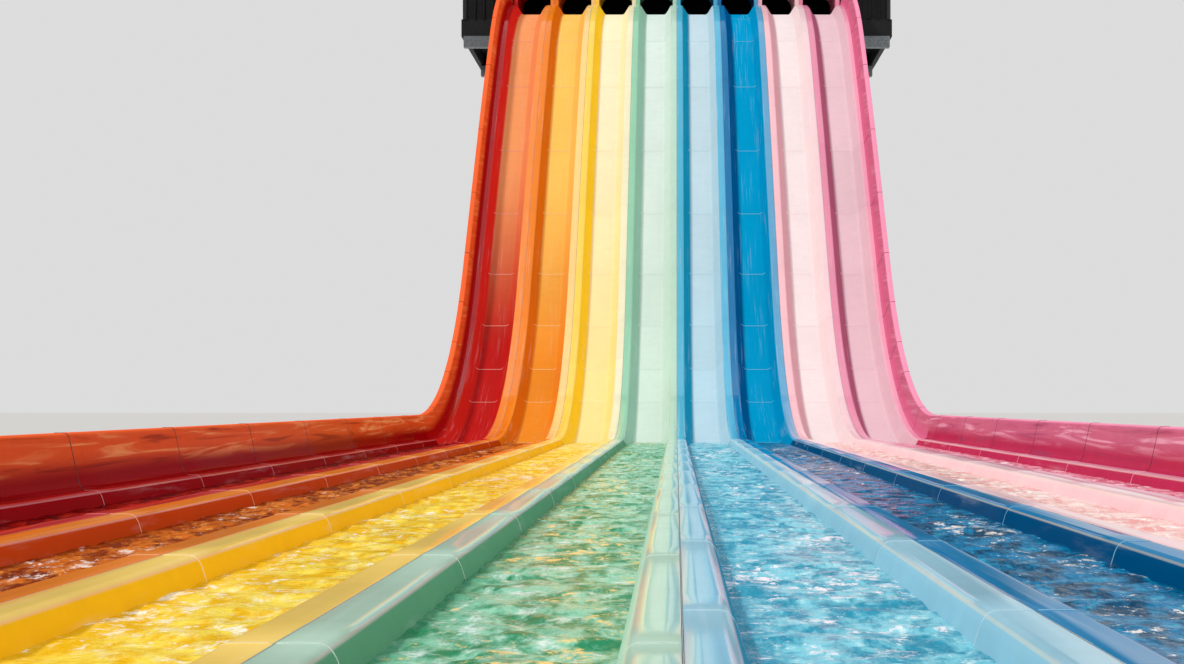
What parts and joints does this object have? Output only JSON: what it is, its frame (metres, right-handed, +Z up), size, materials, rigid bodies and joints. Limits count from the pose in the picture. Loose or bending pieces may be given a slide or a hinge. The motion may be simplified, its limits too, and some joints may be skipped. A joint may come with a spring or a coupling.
{
  "type": "mat racing water slide with start house",
  "caption": "Multi-lane mat racing water slide: steep rainbow chutes from a dark start house down to a long shallow-water runout, on a braced steel frame.",
  "frame": {"origin": "centre of the footprint, at ground level", "axes": "+Y runs from the near end of the runout to the tower, +X to the right of someone facing the slope, +Z up"},
  "size_m": [9.52, 39.3134, 12.2242],
  "materials": {
    "lane_red": "glossy red gel coat on glass-fibre moulding, wet",
    "lane_orange": "glossy orange gel coat on glass-fibre moulding, wet",
    "lane_yellow": "glossy yellow gel coat on glass-fibre moulding, wet",
    "lane_green": "glossy mint green gel coat on glass-fibre moulding, wet",
    "lane_sky": "glossy light blue gel coat on glass-fibre moulding, wet",
    "lane_blue": "glossy deep blue gel coat on glass-fibre moulding, wet",
    "lane_blush": "glossy pale pink gel coat on glass-fibre moulding, wet",
    "lane_pink": "glossy rose pink gel coat on glass-fibre moulding, wet",
    "guard_red": "glossy red gel coat with an orange-red lip",
    "guard_pink": "glossy pink gel coat",
    "end_wall": "glossy off-white gel coat",
    "steelwork": "galvanised and grey painted steel",
    "deck": "dark grey painted steel plate",
    "cladding": "near-black ribbed sheet cladding",
    "roof": "dark grey standing seam sheet",
    "water": "rippled shallow water, tinted by the lane under it",
    "fasteners": "stainless bolts, washers and nuts",
    "joint_seals": "pale flexible sealant drawn nearly flush in the joints"
  },
  "bodies": {
    "root": {"foot_red": "lane_red", "chute_red": "lane_red", "runout_red": "lane_red", "tunnel_red": "lane_red", "foot_orange": "lane_orange", "chute_orange": "lane_orange", "runout_orange": "lane_orange", "tunnel_orange": "lane_orange", "foot_yellow": "lane_yellow", "chute_yellow": "lane_yellow", "runout_yellow": "lane_yellow", "tunnel_yellow": "lane_yellow", "foot_green": "lane_green", "chute_green": "lane_green", "runout_green": "lane_green", "tunnel_green": "lane_green", "foot_sky": "lane_sky", "chute_sky": "lane_sky", "runout_sky": "lane_sky", "tunnel_sky": "lane_sky", "foot_blue": "lane_blue", "chute_blue": "lane_blue", "runout_blue": "lane_blue", "tunnel_blue": "lane_blue", "foot_blush": "lane_blush", "chute_blush": "lane_blush", "runout_blush": "lane_blush", "tunnel_blush": "lane_blush", "foot_pink": "lane_pink", "chute_pink": "lane_pink", "runout_pink": "lane_pink", "tunnel_pink": "lane_pink", "guard_slope_left": "guard_red", "guard_runout_left": "guard_red", "side_bracing_left": "steelwork", "start_house_wall_left": "cladding", "guard_slope_right": "guard_pink", "guard_runout_right": "guard_pink", "side_bracing_right": "steelwork", "start_house_wall_right": "cladding", "bent_1": "steelwork", "bent_2": "steelwork", "bent_3": "steelwork", "bent_4": "steelwork", "bent_5": "steelwork", "bent_6": "steelwork", "runout_end_wall": "end_wall", "runout_frame": "steelwork", "slope_frame_foot": "steelwork", "slope_frame_lower": "steelwork", "slope_frame_middle": "steelwork", "slope_frame_crest": "steelwork", "start_deck": "deck", "start_house_lintel": "cladding", "start_house_rear_wall": "cladding", "start_house_roof": "roof"}
  },
  "joints": []
}
